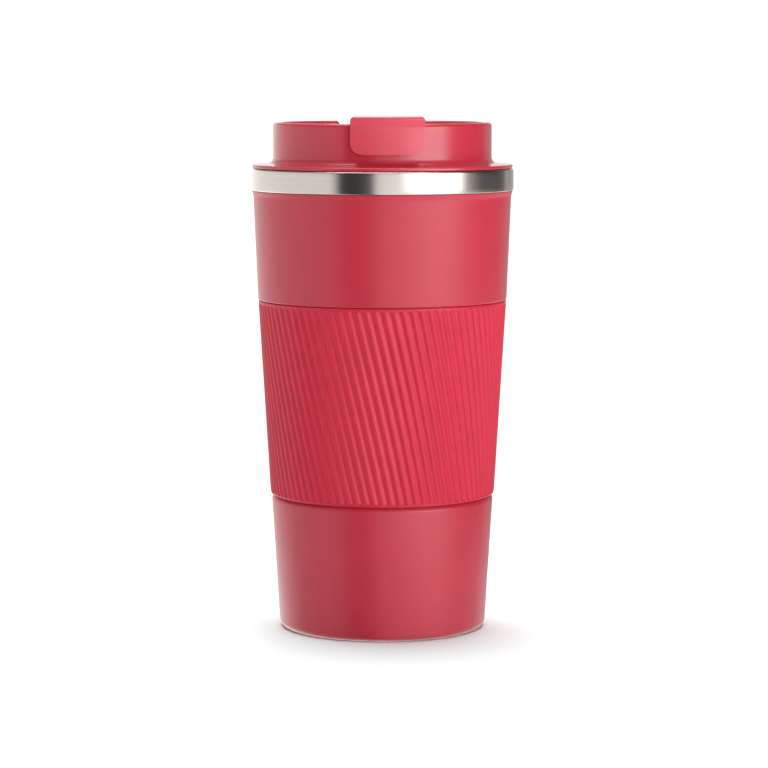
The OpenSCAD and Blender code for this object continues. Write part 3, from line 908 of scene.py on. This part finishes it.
def flip_tab():
    """Arm and tongue as one thick sheet with a slot for the lid's ear, the knuckles beside
    the ear and the posts that carry the stoppers."""
    half = TAB_W / 2

    def half_width(rho, z):
        if rho < COLLAR_R:
            return HINGE_W / 2 + (half - HINGE_W / 2) * rho / COLLAR_R
        rise = max(0.0, TONGUE_Z + TAB_CORNER - z)
        return half - TAB_CORNER + math.sqrt(max(0.0, TAB_CORNER ** 2 - rise ** 2))

    def crown(x, width, rho):
        """Height of the top at a distance from the middle; it rounds off at the sides."""
        over = max(0.0, abs(x) - width + TAB_CROWN)
        return arm_top(rho) - TAB_CROWN + math.sqrt(max(0.0, TAB_CROWN ** 2 - over ** 2))

    slot_depths = (3.05, 1.5, 0.0)      # the rows beside the ear
    rows = [p for p in tab_side() if p[0] > 3.2]
    slot_row = len(rows)
    rows += [(rho, arm_top(rho), 0.0) for rho in slot_depths]
    side = [(half - TAB_CROWN + TAB_CROWN * math.sin(math.radians(a))) / half
            for a in (0, 15, 30, 45, 60, 75, 90)]
    middle = [0.0, 0.15, 0.3, SLOT / half, 0.6, 0.75]
    positive = middle + side
    shares = [-share for share in positive[:0:-1]] + positive
    verts = []
    count = len(shares)
    for layer in (0, 1):
        for rho, z, plan in rows:
            width = half_width(rho, z)
            r, zz = (rho, z) if layer == 0 else tab_under(rho, z)
            for share in shares:
                x = share * half
                if abs(x) > SLOT:
                    x = math.copysign(SLOT + (abs(x) - SLOT) * (width - SLOT) / (half - SLOT), x)
                sag = plan * (TONGUE_R - math.sqrt(TONGUE_R ** 2 - x * x))
                top = min(zz, crown(x, width, rho)) if layer == 0 else zz
                verts.append((x, -(r - sag), top))
    offset = len(rows) * count
    cells = {(i, k) for i in range(len(rows) - 1) for k in range(count - 1)
             if i < slot_row or abs(shares[k] + shares[k + 1]) / 2 > SLOT / half}
    faces = []
    for i, k in sorted(cells):
        a, b = i * count + k, i * count + k + 1
        c, d = b + count, a + count
        faces.append((a, b, c, d))
        faces.append((offset + d, offset + c, offset + b, offset + a))
        for beside, e, f in (((i - 1, k), a, b), ((i + 1, k), c, d), ((i, k - 1), d, a),
                             ((i, k + 1), b, c)):
            if beside not in cells:
                faces.append((f, e, offset + e, offset + f))
    sheet = make_object("tab_arm", verts, faces, smooth_angle=50)
    add_bevel(sheet, 0.6, segments=5)
    place(sheet, "tab", "flip_tab", TAB_PLASTIC)
    for name, x0, x1 in (("tab_knuckle_left", -KNUCKLE_OUT, -SLOT),
                         ("tab_knuckle_right", SLOT, KNUCKLE_OUT)):
        knuckle = rod(name, KNUCKLE_R, x0, x1, 0.5, bore_r=PIN_R + PIN_PLAY)
        place(knuckle, "tab", "flip_tab", TAB_PLASTIC)
    for name, y, r, z in POSTS:
        post = lathe(name, rounded([(CORE, z), (r, z, 0.3), (r, ARM_UNDER - 0.6, 1.0),
                                    (r + 1.2, ARM_UNDER + 0.1), (CORE, ARM_UNDER + 0.1)]),
                     columns=64, centre=(0, y))
        place(post, "tab", "flip_tab", TAB_PLASTIC)


def spout_stopper():
    """The cap under the tab that shuts the drink hole."""
    z = DECK_Z + 0.2
    r = DRINK_R
    bore_r = DRINK_POST_R + GAP
    outline = rounded([
        (CORE, z - 1.8), (r - 1.6, z - 1.8, 1.2), (r - 0.7, z, 0.15), (r + 2, z, 0.25),
        (r + 2, z + 1.5, 0.4), (r + 0.8, z + 2, 0.6), (r + 0.6, z + 4, 0.3),
        (bore_r, z + 4, 0.1), (bore_r, z + 1.95), (CORE, z + 1.95),
    ])
    piece = lathe("spout_cap", outline, columns=96, centre=(0, DRINK_Y))
    place(piece, "tab", "spout_stopper", PALE_SILICONE)


def vent_stopper():
    """The cap under the tab that shuts the vent."""
    z = DECK_Z + 2
    bore_r = VENT_POST_R + GAP
    outline = rounded([
        (CORE, z), (3, z, 0.35), (3, z + 2.6, 0.6), (2.5, z + 4, 0.3), (bore_r, z + 4, 0.1),
        (bore_r, z + 2.15), (CORE, z + 2.15),
    ])
    piece = lathe("vent_cap", outline, columns=64, centre=(0, VENT_Y))
    place(piece, "tab", "vent_stopper", PALE_SILICONE)


def carried_over():
    """The sealed pieces keep their CAD shape and get a worked material."""
    for node, material in (("vacuum_bottom", PLAIN_STEEL), ("vacuum_seal", SEAL_BEAD),
                           ("getter", GETTER_METAL), ("getter_clip", PLAIN_STEEL)):
        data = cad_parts[node].data
        data.materials.clear()
        data.materials.append(material)


# ---------------------------------------------------------------- stage, light and camera

# camera, in metres from the foot's middle
FACING = math.radians(-2.77)            # how far round from the tongue it stands
CAMERA_OUT = 1.036
CAMERA_UP = 0.1902
CAMERA_ASIDE = 0.000575
CAMERA_PITCH = math.radians(5.912)      # how far it looks down
LENS = 143.05


def camera():
    data = bpy.data.cameras.new("camera")
    data.lens = LENS
    data.sensor_width = 36
    view = bpy.data.objects.new("camera", data)
    bpy.context.scene.collection.objects.link(view)
    out = Vector((math.sin(FACING), -math.cos(FACING), 0))
    right = Vector((math.cos(FACING), math.sin(FACING), 0))
    view.location = out * CAMERA_OUT + right * CAMERA_ASIDE + Vector((0, 0, CAMERA_UP))
    aim = -out * math.cos(CAMERA_PITCH) - Vector((0, 0, math.sin(CAMERA_PITCH)))
    view.rotation_euler = aim.to_track_quat("-Z", "Y").to_euler()
    bpy.context.scene.camera = view


FLOOR_R = 250
FLOOR_WHITE = (1.0, 1.1, 1.1, 1)        # what the camera sees
FLOOR_GREY = (0.65, 0.65, 0.65, 1)      # what lights the mug from below


def floor():
    """A white table that takes the soft shadow at the foot and stays out of reflections."""
    s = Shader("floor", (0.9, 0.9, 0.9), 1.0, specular=0.0)
    s.vary_roughness(s.noise(40), 0.95, 1.0)
    path = s.node("ShaderNodeLightPath")
    s.mix_color(path.outputs["Is Camera Ray"], FLOOR_GREY, FLOOR_WHITE)
    gap = s.node("ShaderNodeBsdfTransparent")
    mix = s.node("ShaderNodeMixShader")
    s.link(path.outputs["Is Glossy Ray"], mix.inputs["Fac"])
    s.link(s.bsdf.outputs["BSDF"], mix.inputs[1])
    s.link(gap.outputs["BSDF"], mix.inputs[2])
    s.link(mix.outputs["Shader"], s.tree.nodes["Material Output"].inputs["Surface"])
    columns = 96
    plane = make_object("floor", circle(FLOOR_R, 0, columns), [tuple(range(columns))])
    plane.data.materials.append(s.material)


# walls: (degrees to the right of the camera, brightness)
WALLS = [
    (-180, 1.3), (-150, 1.05), (-125, 0.86), (-60, 0.82), (-46, 0.84), (-41, 0.5), (-37, 0.05),
    (-26, 0.04), (-13, 0.08), (-9, 0.16), (-4, 0.85), (6, 0.95), (30, 1.1), (45, 1.2), (64, 1.15),
    (72, 0.8), (80, 0.35), (90, 0.12), (98, 0.05), (120, 0.06), (132, 0.12), (140, 0.4),
    (148, 0.32), (168, 0.5), (180, 1.3),
]
# Each pair below is the start and end of a soft edge: in degrees for the sides, and in the
# sine of the elevation for the rest.
WALL_TOP = (0.14, 0.34)
UPPER_SHARE = 0.35              # how bright the walls stay above their top
# softbox on the right
KEY_LIGHT = 3.4
KEY_SIDES = ((12, 40), (60, 80))
KEY_FOOT = (-0.12, -0.01)
KEY_TOP = (0.2, 0.36)
# bright table, low down at both sides
TABLE_LIGHT = 0.8
TABLE_SIDES = ((-130, -95), (40, 90))
TABLE_TOP = (-0.26, -0.14)
# panel overhead
PANEL_LIGHT = 5.0
PANEL_LEAN = math.radians(12)   # how far it leans back from straight above
PANEL_EDGE = (0.88, 0.96)
DIFFUSE_GAIN = 0.45             # how much more light reaches the matt part of each surface


def studio_light():
    """A room round the mug: pale walls with dark gaps, a softbox, a table and a panel above."""
    world = bpy.data.worlds.new("studio")
    world.use_nodes = True
    bpy.context.scene.world = world
    tree = world.node_tree
    nodes, links = tree.nodes, tree.links
    background = nodes["Background"]
    coordinates = nodes.new("ShaderNodeTexCoord")
    split = nodes.new("ShaderNodeSeparateXYZ")
    links.new(coordinates.outputs["Generated"], split.inputs["Vector"])

    def math_node(operation, *values):
        node = nodes.new("ShaderNodeMath")
        node.operation = operation
        for socket, value in zip(node.inputs, values):
            if isinstance(value, (int, float)):
                socket.default_value = value
            else:
                links.new(value, socket)
        return node.outputs["Value"]

    def fade(source, limits, below, above):
        """A soft step from below to above as the source passes between the limits."""
        node = nodes.new("ShaderNodeMapRange")
        node.interpolation_type = "SMOOTHSTEP"
        for key, value in zip(("From Min", "From Max", "To Min", "To Max"),
                              (*limits, below, above)):
            node.inputs[key].default_value = value
        links.new(source, node.inputs["Value"])
        return node.outputs["Result"]

    height = split.outputs["Z"]
    ahead = math_node("MULTIPLY", split.outputs["Y"], -1.0)
    azimuth = math_node("ARCTAN2", split.outputs["X"], ahead)
    share = math_node("DIVIDE", math_node("SUBTRACT", azimuth, FACING), 2 * math.pi)
    share = math_node("FRACT", math_node("ADD", share, 1.5))
    ring = nodes.new("ShaderNodeValToRGB")
    stops = ring.color_ramp.elements
    stops[0].position, stops[1].position = 0, 1
    for angle, _ in WALLS[1:-1]:
        stops.new((angle + 180) / 360)
    for stop, (_, value) in zip(stops, WALLS):
        stop.color = (value, value, value, 1)
    links.new(share, ring.inputs["Fac"])
    walls = math_node("MULTIPLY", ring.outputs["Color"], fade(height, WALL_TOP, 1.0, UPPER_SHARE))

    def between(sides, inside, outside):
        """Two fades round the mug, one at each side."""
        left, right = [[(a + 180) / 360 for a in side] for side in sides]
        return fade(share, left, outside, inside), fade(share, right, inside, outside)

    key = math_node("MULTIPLY", *between(KEY_SIDES, 1.0, 0.0))
    key = math_node("MULTIPLY", key, fade(height, KEY_FOOT, 0.0, KEY_LIGHT))
    key = math_node("MULTIPLY", key, fade(height, KEY_TOP, 1.0, 0.0))
    table = math_node("ADD", *between(TABLE_SIDES, 0.0, 1.0))
    table = math_node("MULTIPLY", table, fade(height, TABLE_TOP, TABLE_LIGHT, 0.0))
    lean = math_node("ADD", math_node("MULTIPLY", height, math.cos(PANEL_LEAN)),
                     math_node("MULTIPLY", split.outputs["Y"], math.sin(PANEL_LEAN)))
    room = math_node("ADD", walls, key)
    room = math_node("ADD", room, table)
    room = math_node("ADD", room, fade(lean, PANEL_EDGE, 0.0, PANEL_LIGHT))
    path = nodes.new("ShaderNodeLightPath")
    gain = math_node("MULTIPLY_ADD", path.outputs["Is Diffuse Ray"], DIFFUSE_GAIN, 1.0)
    room = math_node("MULTIPLY", room, gain)
    links.new(math_node("MAXIMUM", room, path.outputs["Is Camera Ray"]),
              background.inputs["Strength"])
    background.inputs["Color"].default_value = (1, 1, 1, 1)


camera()
floor()
studio_light()
outer_shell()
mouth_ring()
inner_liner()
liner_floor()
base_cover()
grip_sleeve()
lid_cover()
hinge_ear()
lid_gasket()
lid_plug()
hinge_pin()
flip_tab()
spout_stopper()
vent_stopper()
carried_over()
bpy.context.scene.view_settings.view_transform = "Standard"
